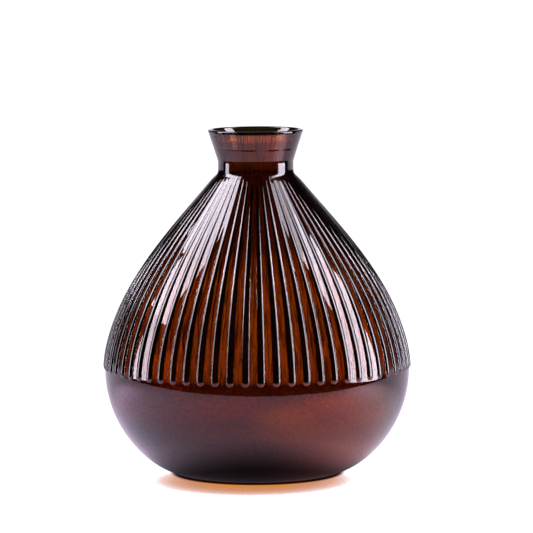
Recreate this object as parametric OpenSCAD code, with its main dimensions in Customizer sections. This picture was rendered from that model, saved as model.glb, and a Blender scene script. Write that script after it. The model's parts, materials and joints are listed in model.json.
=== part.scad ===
// Glass bud vase: a round bowl under a tall ribbed shoulder, a short neck and a flared collar.
// It is one piece of glass. The nodes are the zones of that piece, cut level and meeting face to face.
// The origin is the centre of the ring it stands on, +Z runs up the axis, and sizes are millimetres.

/* [Overall] */
// Height from the table to the top of the lip
height = 150; // [130:1:190]
// Diameter of the plain bowl at its widest
bowl_d = 132.8; // [110:0.2:165]
// Height of the widest part of the bowl
belly_z = 45.7; // [36:0.1:58]

/* [Foot] */
// Outer diameter of the flat ring that it stands on
foot_d = 63; // [50:0.5:80]
// Width of that ring
foot_w = 4.5; // [2:0.5:8]
// Height of the dome pressed up under the bottom
punt_h = 2.2; // [1:0.1:4]

/* [Glass] */
// Thickness of the wall of the bowl and the shoulder
wall = 3.2; // [2:0.1:4.5]
// Thickness of the bottom at the ring it stands on
bottom_t = 7; // [5:0.5:12]

/* [Neck] */
// Outer diameter of the neck at its narrowest
neck_d = 32.9; // [30:0.1:40]
// Diameter of the straight bore through the neck
bore_d = 26; // [20:0.5:27]
// Height of the straight outside of the neck
neck_h = 2.4; // [1.5:0.1:6]
// Height of the blend from the shoulder into the neck
root_h = 3.5; // [2.5:0.1:6]
// How far that blend reaches out from the neck
root_w = 1.05; // [0.6:0.05:3]

/* [Collar and lip] */
// Height of the flared collar, from the neck to the top of the lip
collar_h = 14.7; // [10:0.1:20]
// Outer diameter of the collar at the lip
lip_d = 41.5; // [38:0.5:50]
// Thickness of the lip
lip_t = 2.1; // [1.5:0.1:3]

/* [Ribs] */
// Number of ribs round the shoulder
rib_count = 64; // [24:1:80]
// Height of a rib above the glass
rib_h = 0.75; // [0.4:0.05:1.2]
// Share of the spacing that a rib takes up
rib_share = 0.52; // [0.3:0.01:0.7]
// Height of the ribs' round lower ends above the widest part of the bowl
rib_foot_rise = 0.3; // [0:0.1:20]
// Gap between the tops of the ribs and the blend into the neck
rib_top_gap = 0.5; // [0.3:0.1:8]
// Angle by which one rib stands to the right of the front
rib_turn = 1.5; // [-3:0.1:3]

/* [Hidden] */

$fn = 96;
steps = 14;         // points along each long curve
short_steps = 8;    // points along each short curve
overrun = 5;        // how far the cutting shapes pass the glass

bowl_r = bowl_d / 2;
foot_r = foot_d / 2;
neck_r = neck_d / 2;
bore_r = bore_d / 2;
lip_r = lip_d / 2;
bead_r = lip_t / 2;

collar_z = height - collar_h;
neck_z = collar_z - neck_h;
root_z = neck_z - root_h;
lip_z = height - bead_r;
root = [neck_r + root_w, root_z];
belly = [bowl_r, belly_z];

// Lean of the shoulder from the upright where it meets the neck
shoulder_lean = 39.2;
// The bore starts where the inside of the shoulder, one wall in from the outside, reaches it
bore_foot_z = root_z + (root[0] - bore_r) / tan(shoulder_lean) - wall / sin(shoulder_lean);
bore_foot = [bore_r, bore_foot_z];
inner_belly = [bowl_r - wall, belly_z];

// A smooth curve steered by a few points, and the points along it
function along(p, t) =
    len(p) == 1 ? p[0] : along([for (i = [0:len(p) - 2]) p[i] * (1 - t) + p[i + 1] * t], t);
function curve(p, n) = [for (i = [0:n]) along(p, i / n)];
function reversed(p) = [for (i = [len(p) - 1:-1:0]) p[i]];
// The same line moved out by d, square to itself
function moved_out(p, d) = [for (i = [0:len(p) - 1])
    let (along_it = p[min(i + 1, len(p) - 1)] - p[max(i - 1, 0)])
    p[i] + d * [along_it[1], -along_it[0]] / norm(along_it)];

// The bulging shoulder from the widest part up to the neck, outside or inside
function shoulder_line(low, high) =
    let (across = low[0] - high[0], rise = high[1] - low[1])
    curve([
        low,
        low + [0, 0.156 * rise],
        [high[0] + 0.835 * across, low[1] + 0.483 * rise],
        high + 0.3305 * norm([across, rise]) * [sin(shoulder_lean), -cos(shoulder_lean)],
        high
    ], steps);
// The round bowl from its bottom up to the widest part; flat is where it leaves the level
function bowl_line(low, high, flat, upright) = curve([
        low,
        low + [flat * (high[0] - low[0]), 0],
        high - [0, upright * (high[1] - low[1])],
        high
    ], steps);

outer_shoulder = shoulder_line(belly, root);
inner_shoulder = shoulder_line(inner_belly, bore_foot);
outer_bowl = bowl_line([foot_r, 0], belly, 0.42, 0.567);
inner_bowl = bowl_line([0, bottom_t], inner_belly, 0.7, 0.68);
neck_blend = curve([root, [neck_r, root_z + 0.42 * root_h], [neck_r, neck_z]], short_steps);
outer_collar = curve([
        [neck_r, collar_z],
        [neck_r, collar_z + 0.12 * collar_h],
        [neck_r + 0.45 * (lip_r - neck_r), collar_z + 0.55 * collar_h],
        [lip_r, lip_z]
    ], short_steps);
inner_collar = curve([
        [bore_r, collar_z],
        [bore_r, collar_z + 0.2 * collar_h],
        [bore_r + 0.5 * (lip_r - lip_t - bore_r), collar_z + 0.6 * collar_h],
        [lip_r - lip_t, lip_z]
    ], short_steps);
bead = [for (a = [15:15:165]) [lip_r - bead_r, lip_z] + bead_r * [cos(a), sin(a)]];
punt = curve([[0, punt_h], [0.6 * (foot_r - foot_w), punt_h], [foot_r - foot_w, 0]], short_steps);

// Half of the section through the vase
glass_outline = concat(punt, outer_bowl, outer_shoulder, neck_blend, outer_collar, bead,
    reversed(inner_collar), reversed(inner_shoulder), reversed(inner_bowl));

// The ribs follow the outside of the shoulder from their round ends up to the neck
pitch = 360 / rib_count;
rib_turn_w = rib_share * pitch;
rib_foot_z = belly_z + rib_foot_rise;
rib_foot_r = bowl_r * sin(rib_turn_w / 2);
rib_top_z = root_z - rib_top_gap;
rib_section = concat(outer_shoulder, reversed(moved_out(outer_shoulder, rib_h)));

// The glass between two heights
module glass(low, high) {
    rotate_extrude()
        intersection() {
            polygon(glass_outline);
            translate([0, low]) square([bowl_r + overrun, high - low]);
        }
}

// One rib, on +X, with its lower end rounded as seen from outside
module rib() {
    intersection() {
        rotate([0, 0, -rib_turn_w / 2]) rotate_extrude(angle = rib_turn_w) polygon(rib_section);
        rotate([90, 0, 90]) linear_extrude(bowl_r + overrun) {
            translate([0, rib_foot_z + rib_foot_r]) circle(r = 1.02 * rib_foot_r);
            translate([-overrun, rib_foot_z + rib_foot_r])
                square([2 * overrun, rib_top_z - rib_foot_z - rib_foot_r]);
        }
    }
}

// The rounded rim round the mouth
module lip() {
    color("#2a1208") glass(lip_z, height);
}

// The flared collar under the lip
module collar() {
    color("#6b3520") glass(collar_z, lip_z);
}

// The narrow neck with the straight bore, and its blend into the shoulder
module neck() {
    color("#4a1e0c") glass(root_z, collar_z);
}

// The wall of the shoulder, under the ribs
module shoulder() {
    color("#7a3a10") glass(belly_z, root_z);
}

// The ribs moulded on the shoulder
module shoulder_ribs() {
    color("#3a1606")
        for (i = [0:rib_count - 1]) rotate([0, 0, rib_turn - 90 + i * pitch]) rib();
}

// The plain round bowl
module bowl() {
    color("#5a2a1c") glass(bottom_t, belly_z);
}

// The thick bottom with the ring that the vase stands on
module base() {
    color("#1e0c06") glass(0, bottom_t);
}

lip();
collar();
neck();
shoulder();
shoulder_ribs();
bowl();
base();
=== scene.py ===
import json
import math

import bmesh
import bpy
from mathutils import Matrix, Vector, noise


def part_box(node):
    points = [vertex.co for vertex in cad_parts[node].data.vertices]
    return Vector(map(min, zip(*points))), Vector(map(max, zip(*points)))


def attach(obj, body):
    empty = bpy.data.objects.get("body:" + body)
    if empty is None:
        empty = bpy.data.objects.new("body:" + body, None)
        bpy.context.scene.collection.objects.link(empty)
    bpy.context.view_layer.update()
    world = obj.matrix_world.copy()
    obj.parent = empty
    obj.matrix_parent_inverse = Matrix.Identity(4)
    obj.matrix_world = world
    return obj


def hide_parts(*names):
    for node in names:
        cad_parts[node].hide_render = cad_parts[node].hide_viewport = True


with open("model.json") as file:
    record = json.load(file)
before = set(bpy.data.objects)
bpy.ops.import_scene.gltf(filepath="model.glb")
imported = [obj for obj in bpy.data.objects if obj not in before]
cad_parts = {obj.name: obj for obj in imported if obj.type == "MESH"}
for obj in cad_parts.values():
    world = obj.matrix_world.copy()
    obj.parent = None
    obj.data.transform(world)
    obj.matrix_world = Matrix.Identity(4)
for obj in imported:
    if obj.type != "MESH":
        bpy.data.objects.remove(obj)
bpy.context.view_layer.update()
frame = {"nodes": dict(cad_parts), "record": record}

mm = 0.001
mounts = {m["name"]: m for m in frame["record"]["mounts"]}


def mix(a, b, t):
    return a + (b - a) * t


def smooth(low, high, x):
    # 0 below low, 1 above high, easing between them
    t = min(1.0, max(0.0, (x - low) / (high - low)))
    return t * t * (3 - 2 * t)


def steered(points, t):
    # the point at t on a smooth curve steered by a few points
    points = [Vector(p) for p in points]
    while len(points) > 1:
        points = [mix(a, b, t) for a, b in zip(points, points[1:])]
    return points[0]


def curve(points, count):
    return [steered(points, i / count) for i in range(count + 1)]


glass = {
    "columns": 192,             # columns round the plain glass
    "ribCuts": 5,               # more columns cut between those where the ribs run
    "merge": 0.002 * mm,        # points nearer than this become one
    "wall": 3.2 * mm,
    "footRadius": 31.5 * mm,
    "puntHeight": 2.2 * mm,     # a shallow dome under the bottom
    "puntShares": (0.55, 0.93), # shares of its radius where it is still level, and where it turns down
    "puntRows": 10,
    "bowlBend": (0.42, 0.567),  # how far the bowl runs on level, and upright, before it bends
    "bowlRows": 28,
    "innerBend": (0.7, 0.68),
    "innerRows": 34,
    "shoulderLean": 39.2,       # degrees from the upright where the shoulder meets the neck
    "shoulderPull": 0.3305,     # shares of the shoulder that steer its curve
    "shoulderRise": 0.156,
    "shoulderBend": (0.835, 0.483),
    "neckRadius": 16.45 * mm,
    "neckTall": 2.4 * mm,
    "rootRise": 0.42,           # share of the blend into the neck that is still leaning out
    "rootRows": 8,
    "waistRows": (0.5, 1.08),   # shares of the neck's height, one just past its end
    "boreRows": (0.33, 0.67),
    "collarRows": 14,
    "collarLift": 0.9 * mm,     # the collar flares from this far above the neck's end
    "collarBend": (0.49, 0.52), # the middle of the flare, as shares of its width and height
    "throatBend": (0.2, 0.5, 0.6),  # and inside it: where the flare starts, its middle's width and height
    "creaseRise": 6.9 * mm,     # a faint tooling line round the collar, above the neck's end
    "creaseHalf": 0.35 * mm,
    "creaseDepth": 0.09 * mm,
    "creaseShare": 0.45,        # of that depth on average, deeper in some places than in others
    "creaseTurns": 3.1,         # how often that changes round the collar
    "creaseClear": 0.2 * mm,    # no other row comes this near it
    "lipWidth": 2.1 * mm,
    "lipRound": 0.55 * mm,      # height of the rounding at the rim
    "lipStep": 15,              # degrees
    "wave": 0.22 * mm,          # unevenness of the inside of the glass
    "waveSize": 15 * mm,
    "skin": 0.012 * mm,         # unevenness of the outside
    "calmFoot": (0.3 * mm, 9 * mm),  # both grow over these heights
    "calmMiddle": 12 * mm,      # and out to this radius
    "calmLip": (4 * mm, 2 * mm),  # and fade from above the neck's end to below the top
}

ribs = {
    "count": 64,
    "share": 0.52,          # share of the spacing that a rib takes up
    "height": 0.75 * mm,
    "turn": 1.5,            # degrees by which one rib stands to the right of the front
    "footRise": 0.3 * mm,   # round lower ends above the widest part
    "shrink": (1.5, 2.15),  # how much lower a rib gets as it narrows towards the neck
    "shrinkRise": (72 * mm, 104 * mm),
    "edge": (3, 2),         # at the foot and the top: 2 is a round back, more is a flatter one
    "edgeRise": (60 * mm, 110 * mm),
    "stations": (0, 0.32, 0.55, 0.72, 0.86, 1, 1.08, 1.34, 1.63, 1.923),  # columns, in half widths
    "footRow": 0.23 * mm,   # rows of points at the round ends
    "footRows": 2.8 * mm,   # and how far up those go
    "rowGrowth": 1.35,
    "row": 2.55 * mm,       # rows further up
    "lastRow": 0.4 * mm,    # no row comes this near the last one
    "gatherDrop": (6 * mm, 0.5 * mm),  # columns move to their stations over these depths under the ribs
    "spread": 1 * mm,       # and back to even over this height below the neck
    "valleyRise": 30 * mm,  # height over which the glass between ribs comes up
    "end": (1.2 * mm, 2.2 * mm),  # ribs sink away from below the root to above it
    "endSlope": -0.55,      # change of radius with height there
    "cutAbove": 2.4 * mm,
    "ribShadeEnd": 6 * mm,      # the painted shade on their backs fades over this height below the root
    "wobble": 0.02,         # degrees a rib strays to the side
    "wobbleSize": 22 * mm,
    "uneven": 0.03,         # share by which its height varies
}


def sizes():
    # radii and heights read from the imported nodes
    s = dict(glass)
    lip, neck, bowl, base = (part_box(n) for n in ("lip", "neck", "bowl", "base"))
    s["top"] = lip[1].z
    s["lipRadius"] = lip[1].x
    s["collarFoot"] = neck[1].z
    s["root"] = Vector((neck[1].x, neck[0].z))
    s["belly"] = Vector((bowl[1].x, bowl[1].z))
    s["floor"] = base[1].z
    s["bore"] = mounts["neck_bore"]["dims"]["r_mm"] * mm
    s["boreFoot"] = s["collarFoot"] - mounts["neck_bore"]["dims"]["length_mm"] * mm
    s["footRing"] = mounts["base_rest"]["pos_m"][0]
    s["neckFoot"] = s["collarFoot"] - s["neckTall"]
    return s


def shoulderLine(low, high, count):
    across, rise = low.x - high.x, high.y - low.y
    lean = math.radians(glass["shoulderLean"])
    pull = glass["shoulderPull"] * math.hypot(across, rise)
    bendAcross, bendRise = glass["shoulderBend"]
    return curve([
        low,
        low + Vector((0, glass["shoulderRise"] * rise)),
        Vector((high.x + bendAcross * across, low.y + bendRise * rise)),
        high + pull * Vector((math.sin(lean), -math.cos(lean))),
        high,
    ], count)


def bowlLine(low, high, flat, upright, count):
    return curve([
        low,
        low + Vector((flat * (high.x - low.x), 0)),
        high - Vector((0, upright * (high.y - low.y))),
        high,
    ], count)


def ribRows(line):
    # points up the outside of the shoulder: close together at the ribs' round ends, then further apart
    rows, z = [], line[0].y
    step = ribs["footRow"]
    while z < line[0].y + ribs["footRows"]:
        rows.append(z)
        z += step
    while z < line[-1].y - ribs["lastRow"]:
        rows.append(z)
        step = min(ribs["row"], step * ribs["rowGrowth"])
        upright = 1 / math.hypot(1, slopeAt(line, z))
        z += step * upright
    rows.append(line[-1].y)
    return [Vector((radiusAt(line, z), z)) for z in rows]


def bracket(line, z):
    # the two points of a line that a height lies between
    low, high = 0, len(line) - 1
    while high - low > 1:
        mid = (low + high) // 2
        if line[mid].y <= z:
            low = mid
        else:
            high = mid
    return line[low], line[high]


def radiusAt(line, z):
    a, b = bracket(line, z)
    return mix(a.x, b.x, min(1.0, max(0.0, (z - a.y) / (b.y - a.y))))


def slopeAt(line, z):
    a, b = bracket(line, z)
    return (b.x - a.x) / (b.y - a.y)


def outsideLine(s):
    # the outside from the middle of the underside up to the lip
    ring = s["footRing"] * 2 - s["footRadius"]
    level, turned = s["puntShares"]
    punt = curve([(0, s["puntHeight"]), (level * ring, s["puntHeight"]), (turned * ring, 0), (ring, 0)],
                 s["puntRows"])
    bowl = bowlLine(Vector((s["footRadius"], 0)), s["belly"], *s["bowlBend"], s["bowlRows"])
    fine = shoulderLine(s["belly"], s["root"], 900)  # close enough to read any height from
    shoulder = ribRows(fine)
    rise = s["neckFoot"] - s["root"].y
    blend = curve([s["root"], (s["neckRadius"], s["root"].y + s["rootRise"] * rise),
                   (s["neckRadius"], s["neckFoot"])], s["rootRows"])
    tall = s["top"] - s["collarFoot"]
    lipFoot = s["top"] - s["lipRound"]
    flare = Vector((s["neckRadius"], s["collarFoot"] + s["collarLift"]))
    bendOut, bendUp = s["collarBend"]
    collar = curve([flare, (mix(s["neckRadius"], s["lipRadius"], bendOut), s["collarFoot"] + bendUp * tall),
                    (s["lipRadius"], lipFoot)], s["collarRows"])
    crease = s["collarFoot"] + s["creaseRise"]
    near = [crease + k * s["creaseHalf"] for k in (-1, 0, 1)]
    clear = s["creaseClear"]
    rows = [p.y for p in collar if not near[0] - clear < p.y < near[2] + clear]
    collar = [Vector((radiusAt(collar, z), z)) for z in sorted(rows + near)]
    middle = Vector((s["lipRadius"] - s["lipWidth"] / 2, lipFoot))
    rim = [middle + Vector((s["lipWidth"] / 2 * math.cos(a), s["lipRound"] * math.sin(a)))
           for a in (math.radians(k) for k in range(s["lipStep"], 180, s["lipStep"]))]
    waist = [Vector((s["neckRadius"], mix(s["neckFoot"], s["collarFoot"], t))) for t in s["waistRows"]]
    return punt + bowl[:-1] + shoulder + blend[1:] + waist + collar + rim, fine


def insideLine(s):
    # the inside from the lip down to the middle of the bottom
    tall = s["top"] - s["collarFoot"]
    inner = s["lipRadius"] - s["lipWidth"]
    upright, bendOut, bendUp = s["throatBend"]
    collar = curve([
        (s["bore"], s["collarFoot"]),
        (s["bore"], s["collarFoot"] + upright * tall),
        (mix(s["bore"], inner, bendOut), s["collarFoot"] + bendUp * tall),
        (inner, s["top"] - s["lipRound"]),
    ], s["collarRows"])
    innerBelly = Vector((s["belly"].x - s["wall"], s["belly"].y))
    boreFoot = Vector((s["bore"], s["boreFoot"]))
    bore = [Vector((s["bore"], mix(s["boreFoot"], s["collarFoot"], t))) for t in s["boreRows"]]
    shoulder = shoulderLine(innerBelly, boreFoot, s["innerRows"])
    bowl = bowlLine(Vector((0, s["floor"])), innerBelly, *s["innerBend"], s["innerRows"] // 2)
    up = bowl[:-1] + shoulder + bore + collar
    return up[::-1]


def gathered(k):
    # k runs from -1 to 1 across one spacing; the result moves each column to its station
    stations = [ribs["share"] * t for t in ribs["stations"]]
    place = min(abs(k), 1) * (len(stations) - 1)
    low = min(int(place), len(stations) - 2)
    return math.copysign(mix(stations[low], stations[low + 1], place - low), k)


def ribProfile(along, across, edge):
    # how high a rib stands, from 0 to 1. along: distance past the middle of its round end,
    # across: from its middle line, both in half widths
    d = min(1.0, abs(across) if along >= 0 else math.hypot(along, across))
    return 1 - d ** edge


def raiseRibs(bm, s, fine, top):
    pitch = math.radians(360 / ribs["count"])
    turn = math.radians(ribs["turn"] - 90)
    half = ribs["share"] * pitch / 2
    ribShade = bm.verts.layers.float.new("rib")  # 1 on a rib's back, 0 between ribs, -1 inside the vase; the material paints shade on the ribs' backs from it
    for v in bm.verts:
        v[ribShade] = -1.0 if v.tag else 0.0
    footMiddle = s["belly"].y + ribs["footRise"] + s["belly"].x * math.sin(half)
    gatherLow, gatherHigh = (s["belly"].y - drop for drop in ribs["gatherDrop"])
    root = s["root"].y
    for v in bm.verts:
        r = math.hypot(v.co.x, v.co.y)
        z = v.co.z
        if z < gatherLow or z > top or v.tag:
            continue
        a = math.atan2(v.co.y, v.co.x) - turn
        number = round(a / pitch)
        k = 2 * (a / pitch - number)
        gather = smooth(gatherLow, gatherHigh, z)
        gather *= 1 - smooth(s["neckFoot"] - ribs["spread"], s["neckFoot"], z)
        k = mix(k, gathered(k), gather)
        seed = Vector((number * 3.7, z / ribs["wobbleSize"], 0.5))  # each rib reads its own noise
        stray = math.radians(ribs["wobble"]) * noise.noise(seed)
        a = turn + number * pitch + k * pitch / 2
        if z < s["belly"].y:
            v.co = Vector((r * math.cos(a), r * math.sin(a), z))
            continue
        if z <= fine[-1].y:
            r, slope = radiusAt(fine, z), slopeAt(fine, z)
        else:
            slope = ribs["endSlope"]
        across = (k * pitch / 2 - stray) / half
        arc = (z - footMiddle) / (s["belly"].x * half)
        # towards the neck the ribs get lower and the glass between them rises to meet their tops
        shrink = mix(*ribs["shrink"], smooth(*ribs["shrinkRise"], z))
        full = ribs["height"] * (r / s["belly"].x) ** shrink
        profile = ribProfile(arc, across, mix(*ribs["edge"], smooth(*ribs["edgeRise"], z)))
        # where shade is painted on the rib's back, fading out below the root
        v[ribShade] = profile * (1 - smooth(root - ribs["ribShadeEnd"], root, z))
        valley = smooth(footMiddle, footMiddle + ribs["valleyRise"], z)
        h = full * profile + (ribs["height"] - full) * valley
        h *= 1 + ribs["uneven"] * noise.noise(seed + Vector((40, 0, 0)))
        h *= 1 - smooth(root - ribs["end"][0], root + ribs["end"][1], z)
        lean = math.hypot(1, slope)
        r += h / lean
        v.co = Vector((r * math.cos(a), r * math.sin(a), z - h * slope / lean))


def buildGlass():
    s = sizes()
    outside, fine = outsideLine(s)
    inside = insideLine(s)
    turn = math.radians(ribs["turn"])
    bm = bmesh.new()
    line = [bm.verts.new((p.x * math.cos(turn), p.x * math.sin(turn), p.y)) for p in outside + inside]
    edges = [bm.edges.new(pair) for pair in zip(line, line[1:])]
    bmesh.ops.spin(bm, geom=line + edges, cent=(0, 0, 0), axis=(0, 0, 1), angle=math.tau,
                   steps=glass["columns"], use_merge=True)
    bmesh.ops.remove_doubles(bm, verts=bm.verts, dist=glass["merge"])
    print("glass turned:", len(bm.verts), "points")

    # tag the points of the inside: they lie on the inner line, and the outer one is a wall away
    insideUp = inside[::-1]
    for v in bm.verts:
        r = math.hypot(v.co.x, v.co.y)
        v.tag = s["floor"] - 0.1 * mm < v.co.z < s["top"] and r < radiusAt(insideUp, v.co.z) + 0.5 * mm

    top = s["root"].y + ribs["cutAbove"]
    rings = [e for e in bm.edges
             if not e.verts[0].tag and not e.verts[1].tag
             and abs(e.verts[0].co.z - e.verts[1].co.z) < 1e-7
             and s["belly"].y - 0.1 * mm < e.verts[0].co.z < top]
    bmesh.ops.subdivide_edges(bm, edges=rings, cuts=glass["ribCuts"], use_grid_fill=True)
    print("rib rows cut:", len(rings), "edges,", len(bm.verts), "points")
    raiseRibs(bm, s, fine, top)

    for v in bm.verts:
        r = math.hypot(v.co.x, v.co.y)
        if r < 1e-6 or v.co.z < s["calmFoot"][0]:
            continue
        out = Vector((v.co.x / r, v.co.y / r, 0))
        fade = smooth(0, s["calmMiddle"], r) * smooth(*s["calmFoot"], v.co.z)
        fade *= 1 - smooth(s["collarFoot"] + s["calmLip"][0], s["top"] - s["calmLip"][1], v.co.z)
        size = glass["wave"] if v.tag else glass["skin"]
        v.co += out * size * fade * noise.noise(v.co / glass["waveSize"] + Vector((7, 3, 1)))
        crease = abs(v.co.z - s["collarFoot"] - s["creaseRise"])
        if crease < 0.2 * s["creaseHalf"] and not v.tag:
            deep = s["creaseShare"] + noise.noise(out * s["creaseTurns"] + Vector((2, 5, 0)))
            v.co -= out * s["creaseDepth"] * deep

    bmesh.ops.recalc_face_normals(bm, faces=bm.faces)
    mesh = bpy.data.meshes.new("vase_glass")
    bm.to_mesh(mesh)
    bm.free()
    mesh.shade_smooth()
    piece = bpy.data.objects.new("vase_glass", mesh)
    bpy.context.scene.collection.objects.link(piece)
    mesh.calc_loop_triangles()
    print("glass:", len(mesh.loop_triangles), "triangles")
    return piece


def newMaterial(name):
    m = bpy.data.materials.new(name)
    m.use_nodes = True
    return m, m.node_tree


def add(tree, kind, settings=None, **inputs):
    # a node with its settings and inputs: i0 is its first input, and an input's value is a number,
    # a colour or another node's output
    node = tree.nodes.new("ShaderNode" + kind)
    for key, value in (settings or {}).items():
        setattr(node, key, value)
    for key, value in inputs.items():
        socket = node.inputs[int(key[1:])] if key[0] == "i" and key[1:].isdigit() else node.inputs[key]
        if isinstance(value, bpy.types.NodeSocket):
            tree.links.new(value, socket)
        else:
            socket.default_value = value
    return node


def maths(tree, operation, a, b=0.0, c=0.0):
    return add(tree, "Math", {"operation": operation}, i0=a, i1=b, i2=c).outputs[0]


def ease(tree, value, low, high, start=0.0, end=1.0):
    return add(tree, "MapRange", {"interpolation_type": "SMOOTHSTEP"}, i0=value, i1=low, i2=high,
               i3=start, i4=end).outputs[0]


def tinted(tree, factor, a, b, blend="MIX"):
    node = add(tree, "Mix", {"data_type": "RGBA", "blend_type": blend}, i0=factor, i6=a, i7=b)
    return node.outputs[2]


brownGlass = {
    "tint": (0.737, 0.481, 0.044, 1),   # colour left by the glass
    "depth": 900.0,                     # how quickly it darkens, per metre
    "ior": 1.5,
    "paintedShading": (                         # painted light and shade by height: height in mm and how much light the outside lets in there
        (0, (0.20, 0.06, 0.03, 1)),
        (30, (0.30, 0.105, 0.035, 1)),
        (41, (0.09, 0.028, 0.01, 1)),
        (46.8, (0.045, 0.009, 0.004, 1)),
        (49, (0.75, 0.36, 0.3, 1)),
        (60, (0.95, 0.46, 0.4, 1)),
        (88, (1.0, 0.60, 0.5, 1)),
        (102, (0.10, 0.05, 0.03, 1)),
        (134, (0.035, 0.012, 0.008, 1)),
        (137, (0.08, 0.03, 0.015, 1)),
        (145.5, (0.10, 0.04, 0.02, 1)),
        (147, (0.8, 0.42, 0.15, 1)),
        (148.8, (0.7, 0.36, 0.12, 1)),
        (149.3, (0.001, 0.0005, 0.0003, 1)),
    ),
    "tall": 150,                        # mm, the height that the painted shading runs over
    "waver": 1 * mm,                    # how far their heights stray
    "waverScale": 60.0,
    "ribShade": 0.002,                      # painted shade on a rib's back: what it lets through there
    "ribShadeEdges": (0.08, 0.55),
    "throatShade": 0.0004,                   # and the inside of the collar, painted dark there
    "throatShadeRise": (142.5 * mm, 144 * mm),
    "grain": 46.0,                      # streaks round the glass
    "grainRise": 80,                    # and up it
    "grainBend": 0.9,
    "grainShade": 0.93,
    "mottle": 700.0,                    # finer mottling on the bowl
    "mottleShade": 0.75,
    "spots": (0.35, 0.65),              # the part of the noise that shows in both
    "ribbedRise": (44 * mm, 48 * mm),   # where the bowl's finish gives way to the shoulder's
    "ripple": 260.0,                    # a faint unevenness in the shine
    "rippleDepth": 0.012 * mm,
    "shoulderCalm": 0.25,               # share of it that the shoulder keeps
}


def glassMaterial():
    g = brownGlass
    m, tree = newMaterial("brown_glass")
    shader, output = tree.nodes["Principled BSDF"], tree.nodes["Material Output"]
    shader.inputs["Roughness"].default_value = 0.0
    shader.inputs["IOR"].default_value = g["ior"]
    shader.inputs["Transmission Weight"].default_value = 1.0
    place = add(tree, "TexCoord").outputs["Object"]
    height = add(tree, "SeparateXYZ", Vector=place).outputs["Z"]
    waver = add(tree, "TexNoise", Vector=place, Scale=g["waverScale"]).outputs["Fac"]
    height = maths(tree, "MULTIPLY_ADD", waver, g["waver"], height)
    # painted light and shade, read by height
    paintedShading = add(tree, "ValToRGB", Fac=maths(tree, "DIVIDE", height, g["tall"] * mm))
    ramp = paintedShading.color_ramp
    while len(ramp.elements) < len(g["paintedShading"]):
        ramp.elements.new(0.5)
    for stop, (rise, shade) in zip(ramp.elements, g["paintedShading"]):
        stop.position = rise / g["tall"]
        stop.color = shade
    rib = add(tree, "Attribute", {"attribute_name": "rib"}).outputs["Fac"]
    # painted shade on the ribs' backs, from the rib attribute
    ribShade = ease(tree, rib, *g["ribShadeEdges"], 1.0, g["ribShade"])
    # streaks that run up the glass: round the axis they follow the direction only
    spoke = add(tree, "VectorMath", {"operation": "MULTIPLY"}, i0=place, i1=(1, 1, 0)).outputs[0]
    spoke = add(tree, "VectorMath", {"operation": "NORMALIZE"}, i0=spoke).outputs[0]
    spoke = add(tree, "VectorMath", {"operation": "SCALE"}, i0=spoke, Scale=g["grain"]).outputs[0]
    rise = add(tree, "CombineXYZ", Z=maths(tree, "MULTIPLY", height, g["grainRise"])).outputs[0]
    streaks = add(tree, "VectorMath", {"operation": "ADD"}, i0=spoke, i1=rise).outputs[0]
    grain = add(tree, "TexNoise", Vector=streaks, Scale=1.0, Detail=3.0, Roughness=0.6,
                Distortion=g["grainBend"]).outputs["Fac"]
    grain = ease(tree, grain, *g["spots"], 1 - g["grainShade"], 1.0)
    mottle = add(tree, "TexNoise", Vector=place, Scale=g["mottle"], Detail=2.0).outputs["Fac"]
    mottle = ease(tree, mottle, *g["spots"], 1 - g["mottleShade"], 1.0)
    ribbed = ease(tree, height, *g["ribbedRise"])
    grain = add(tree, "Mix", {"data_type": "FLOAT"}, i0=ribbed, i2=mottle, i3=grain).outputs[0]
    grain = maths(tree, "MULTIPLY", grain, ribShade)
    color = tinted(tree, 1.0, paintedShading.outputs["Color"],
                   add(tree, "CombineColor", Red=grain, Green=grain, Blue=grain).outputs[0], "MULTIPLY")
    # light is tinted on its way in from outside, and neither on its way out nor at the inner surface,
    # except high inside the collar, which is painted dark
    leaving = add(tree, "NewGeometry").outputs["Backfacing"]
    clear = maths(tree, "MAXIMUM", maths(tree, "LESS_THAN", rib, -0.5), leaving)
    # painted shade on the inside of the top of the collar
    throatShade = ease(tree, height, *g["throatShadeRise"], 1.0, g["throatShade"])
    throatShade = maths(tree, "MAXIMUM", throatShade, leaving)
    throatShade = add(tree, "CombineColor", Red=throatShade, Green=throatShade, Blue=throatShade).outputs[0]
    color = tinted(tree, clear, color, throatShade)
    tree.links.new(color, shader.inputs["Base Color"])
    ripple = add(tree, "TexNoise", Vector=place, Scale=g["ripple"], Detail=2.0).outputs["Fac"]
    calm = ease(tree, height, *g["ribbedRise"], 1.0, g["shoulderCalm"])
    ripple = maths(tree, "MULTIPLY", ripple, calm)
    bump = add(tree, "Bump", Height=ripple, Distance=g["rippleDepth"], Strength=1.0)
    tree.links.new(bump.outputs[0], shader.inputs["Normal"])
    volume = add(tree, "VolumeAbsorption", Color=g["tint"], Density=g["depth"])
    tree.links.new(volume.outputs[0], output.inputs["Volume"])
    print("glass material:", len(tree.nodes), "nodes")
    return m


studio = {
    "room": (0.012, 0.010, 0.011, 1),   # dark, as reflections see it
    "white": 1.2,                       # backdrop as the camera sees it
    "behind": (0, 0.995, -0.1),         # the direction of the soft light behind the vase
    "glow": 1.1,                        # how bright it is through the glass
    "glowEdges": (34, 14),              # degrees from that direction where it starts and is full
    "back": (0.95, 0.85, 1.0, 1),       # and its colour in reflections, at the edges of the glass
    "backEdges": (30, 10),
    "low": (0.02, 0.07),                # a low pale zone behind: how far down it starts and is full
    "lowSides": (0.35, 0.55),
}

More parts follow.
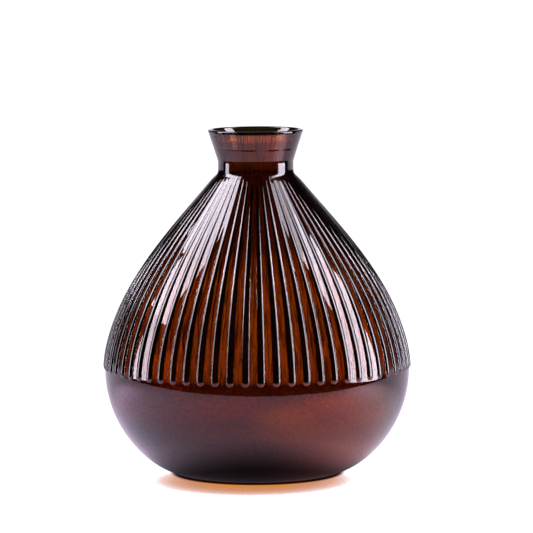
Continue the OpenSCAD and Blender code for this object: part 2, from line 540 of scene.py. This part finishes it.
table = {
    "middle": (-0.01, 0.145),
    "radius": 0.352,
    "drop": 0.02 * mm,
    "shade": (0.046, 0.076),            # the bowl shades it this near the axis
    "shaded": 0.06,
    "sideways": 1.25,                   # the shade reaches less far to the sides
    "white": (0.95, 0.80, 1.02),
    "paintedPools": (                        # painted pools of amber and pale light: x, y, reach, colour added there
        (0.16, -0.02, 0.14, (0.9, 0.75, 0.75)),
        (-0.16, -0.02, 0.17, (0.7, 0.5, 0.8)),
        (0.11, -0.09, 0.13, (2.8, 0.25, 0.0)),
        (-0.03, -0.13, 0.13, (1.15, 0.02, 0.0)),
        (0.038, -0.044, 0.042, (1.3, 0.25, 0.15)),
        (0.03, -0.098, 0.05, (1.5, 0.3, 0.0)),
        (0.235, -0.05, 0.12, (2.8, 1.3, 1.5)),
        (-0.21, 0.05, 0.10, (0.9, 0.6, 1.0)),
    ),
}

softboxes = {                           # tall white lights on both sides
    "distance": 1.0,                    # from the axis
    "color": (1.0, 0.91, 1.05),
    "each": {                           # side, front, back, low, high, brightness
        "left_low": (-1, -0.02, 0.24, -0.05, 0.55, 10),
        "left_middle": (-1, -0.12, 0.38, 0.55, 0.95, 14),
        "left_high": (-1, -0.20, 0.70, 0.95, 2.40, 14),
        "right_low": (1, -0.32, 0.17, -0.10, 0.65, 13.5),
        "right_middle": (1, -0.27, 0.22, 0.65, 1.50, 15),
        "right_high": (1, -0.30, 0.30, 1.50, 2.30, 8),
    },
}


def flat(name, material, shape, **settings):
    bm = bmesh.new()
    shape(bm, **settings)
    mesh = bpy.data.meshes.new(name)
    bm.to_mesh(mesh)
    bm.free()
    mesh.materials.append(material)
    o = bpy.data.objects.new(name, mesh)
    bpy.context.scene.collection.objects.link(o)
    return o


def tableMaterial():
    p = table
    m, tree = newMaterial("table_painted_light_and_shade")
    tree.nodes.remove(tree.nodes["Principled BSDF"])
    place = add(tree, "TexCoord").outputs["Object"]
    color = (*p["white"], 1)
    # painted light added to the table in pools
    for x, y, reach, tint in p["paintedPools"]:
        far = add(tree, "VectorMath", {"operation": "DISTANCE"}, i0=place, i1=(x, y, 0)).outputs["Value"]
        amount = ease(tree, far, 0.0, reach, 1.0, 0.0)
        color = tinted(tree, amount, color, tinted(tree, 1.0, color, (*tint, 1), "ADD"))
    away = add(tree, "VectorMath", {"operation": "MULTIPLY"}, i0=place, i1=(p["sideways"], 1, 1)).outputs[0]
    away = add(tree, "VectorMath", {"operation": "LENGTH"}, i0=away).outputs["Value"]
    lit = ease(tree, away, *p["shade"], p["shaded"], 1.0)
    shine = add(tree, "Emission", Color=color, Strength=lit)
    tree.links.new(shine.outputs[0], tree.nodes["Material Output"].inputs["Surface"])
    return m


floorGlow = {
    "size": 4,                          # metres from the middle of the floor to its sides
    "drop": 0.3 * mm,
    "middle": (-2 * mm, -23 * mm, 0),   # amber light that falls through the vase on the floor
    "reach": 45 * mm,
    "speckle": 5 * mm,                  # how ragged its edges are
    "speckleScale": 900.0,
    "stops": (                          # share of the reach, colour
        (0.46, (0.686, 0.246, 0.058, 1)),
        (0.64, (0.610, 0.296, 0.171, 1)),
        (0.78, (0.753, 0.413, 0.305, 1)),
        (0.88, (0.905, 0.658, 0.631, 1)),
        (0.97, (1.2, 1.2, 1.2, 1)),
    ),
    "contactShadow": (36 * mm, 39 * mm),        # painted contact shadow, dark where the foot meets the floor
    "dark": (0.012, 0.002, 0.001, 1),
}


def floorMaterial():
    g = floorGlow
    m, tree = newMaterial("floor_painted_glow_and_shadow")
    tree.nodes.remove(tree.nodes["Principled BSDF"])
    place = add(tree, "TexCoord").outputs["Object"]
    away = add(tree, "VectorMath", {"operation": "DISTANCE"}, i0=place, i1=g["middle"]).outputs["Value"]
    speckle = add(tree, "TexNoise", Vector=place, Scale=g["speckleScale"]).outputs["Fac"]
    away = maths(tree, "MULTIPLY_ADD", speckle, g["speckle"],
                 maths(tree, "SUBTRACT", away, g["speckle"] / 2))
    glow = add(tree, "ValToRGB", Fac=maths(tree, "DIVIDE", away, g["reach"]))
    while len(glow.color_ramp.elements) < len(g["stops"]):
        glow.color_ramp.elements.new(0.5)
    for stop, (position, color) in zip(glow.color_ramp.elements, g["stops"]):
        stop.position, stop.color = position, color
    near = add(tree, "VectorMath", {"operation": "LENGTH"}, i0=place).outputs["Value"]
    # painted contact shadow under the foot, painted amber glow around it
    color = tinted(tree, ease(tree, near, *g["contactShadow"]), g["dark"], glow.outputs["Color"])
    shine = add(tree, "Emission", Color=color, Strength=1.0)
    tree.links.new(shine.outputs[0], tree.nodes["Material Output"].inputs["Surface"])
    return m


def zone(tree, nearness, edges, bright=1.0):
    # nearness is the cosine of the angle from the zone's middle
    return ease(tree, nearness, *(math.cos(math.radians(e)) for e in edges), 0.0, bright)


def buildWorld():
    world = bpy.data.worlds.new("room")
    bpy.context.scene.world = world
    world.use_nodes = True
    tree = world.node_tree
    tree.nodes.clear()
    ray = add(tree, "LightPath").outputs
    way = add(tree, "TexCoord").outputs["Generated"]
    behind = add(tree, "VectorMath", {"operation": "DOT_PRODUCT"}, i0=way, i1=studio["behind"])
    behind = behind.outputs["Value"]
    axes = add(tree, "SeparateXYZ", Vector=way).outputs
    low = ease(tree, maths(tree, "MULTIPLY", axes["Z"], -1.0), *studio["low"])
    low = maths(tree, "MULTIPLY", low, ease(tree, axes["Y"], *studio["lowSides"]))
    pale = maths(tree, "MAXIMUM", zone(tree, behind, studio["backEdges"]), low)
    color = tinted(tree, pale, studio["room"], studio["back"])
    room = add(tree, "Background", Color=color, Strength=1.0)
    bright = zone(tree, behind, studio["glowEdges"], studio["glow"])
    glow = add(tree, "Background", Color=(1, 1, 1, 1), Strength=bright)
    white = add(tree, "Background", Color=(1, 1, 1, 1), Strength=studio["white"])
    through = add(tree, "MixShader", Fac=ray["Is Transmission Ray"], i1=room.outputs[0], i2=glow.outputs[0])
    seen = add(tree, "MixShader", Fac=ray["Is Camera Ray"], i1=through.outputs[0], i2=white.outputs[0])
    add(tree, "OutputWorld", Surface=seen.outputs[0])


def buildStage():
    # the table shows only in reflections, and the floor only to the camera
    place = Matrix.Translation((*table["middle"], -table["drop"]))
    top = flat("table", tableMaterial(), bmesh.ops.create_circle, cap_ends=True, segments=96,
               radius=table["radius"], matrix=place)
    top.visible_camera = False
    floor = flat("floor", floorMaterial(), bmesh.ops.create_grid, x_segments=1, y_segments=1,
                 size=floorGlow["size"], matrix=Matrix.Translation((0, 0, -floorGlow["drop"])))
    floor.visible_glossy = False
    floor.visible_transmission = False
    floor.visible_diffuse = False
    buildWorld()
    for name, (side, front, back, low, high, white) in softboxes["each"].items():
        light = bpy.data.lights.new(name, "AREA")
        light.shape = "RECTANGLE"
        light.size, light.size_y = back - front, high - low
        light.color = softboxes["color"]
        light.energy = white * math.pi * light.size * light.size_y
        o = bpy.data.objects.new(name, light)
        bpy.context.scene.collection.objects.link(o)
        o.visible_camera = False
        place = Vector((side * softboxes["distance"], (front + back) / 2, (low + high) / 2))
        facing = Vector((-side, 0, 0))
        o.matrix_world = Matrix.Translation(place) @ facing.to_track_quat("-Z", "Y").to_matrix().to_4x4()
    print("stage:", len(softboxes["each"]), "lights, table and floor")


view = {
    "distance": 1.646,                  # metres in front of the axis
    "height": 0.2572,
    "right": 0.0044,
    "pitch": 5.8,                       # degrees that it looks down
    "roll": -0.375,
    "lens": 256.5,
    "sensor": 36,
    "clip": (0.05, 20),
}


def buildCamera():
    data = bpy.data.cameras.new("camera")
    data.lens = view["lens"]
    data.sensor_width = view["sensor"]
    data.clip_start, data.clip_end = view["clip"]
    o = bpy.data.objects.new("camera", data)
    bpy.context.scene.collection.objects.link(o)
    o.matrix_world = (
        Matrix.Translation((view["right"], -view["distance"], view["height"]))
        @ Matrix.Rotation(math.radians(90 - view["pitch"]), 4, "X")
        @ Matrix.Rotation(math.radians(view["roll"]), 4, "Z")
    )
    bpy.context.scene.camera = o
    print("camera:", view["distance"], "m in front,", view["height"], "m up")


vase = buildGlass()
vase.data.materials.append(glassMaterial())
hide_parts(*sorted(frame["nodes"]))
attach(vase, "root")
buildStage()
buildCamera()
bpy.context.scene.view_settings.view_transform = "Standard"
